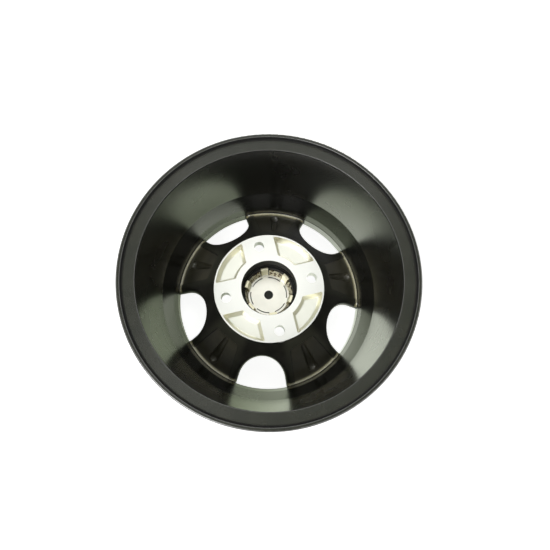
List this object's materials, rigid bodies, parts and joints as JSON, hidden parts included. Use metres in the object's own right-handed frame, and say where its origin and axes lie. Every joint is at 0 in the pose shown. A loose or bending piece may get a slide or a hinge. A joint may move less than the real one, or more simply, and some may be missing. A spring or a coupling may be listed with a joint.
{
  "type": "atv wheel",
  "caption": "Cast spoked rim with drop-centre barrel, bolt-on hub pad and snap-in centre cap, carrying a tubeless tyre on an all-terrain vehicle hub.",
  "frame": {"origin": "on the wheel's axis, in the plane of the machined hub pad", "axes": "+Z along the wheel's axis and inboard, towards the vehicle; +X through one lug hole and the spoke in line with it; the wheel lies on its outboard flange"},
  "size_m": [0.333, 0.333, 0.1938],
  "materials": {
    "wheel_casting": "satin black paint over cast aluminium, with the hub pad machined bare",
    "centre_cap": "bright plated plastic"
  },
  "bodies": {
    "root": {"wheel_casting": "wheel_casting", "centre_cap": "centre_cap"}
  },
  "joints": []
}
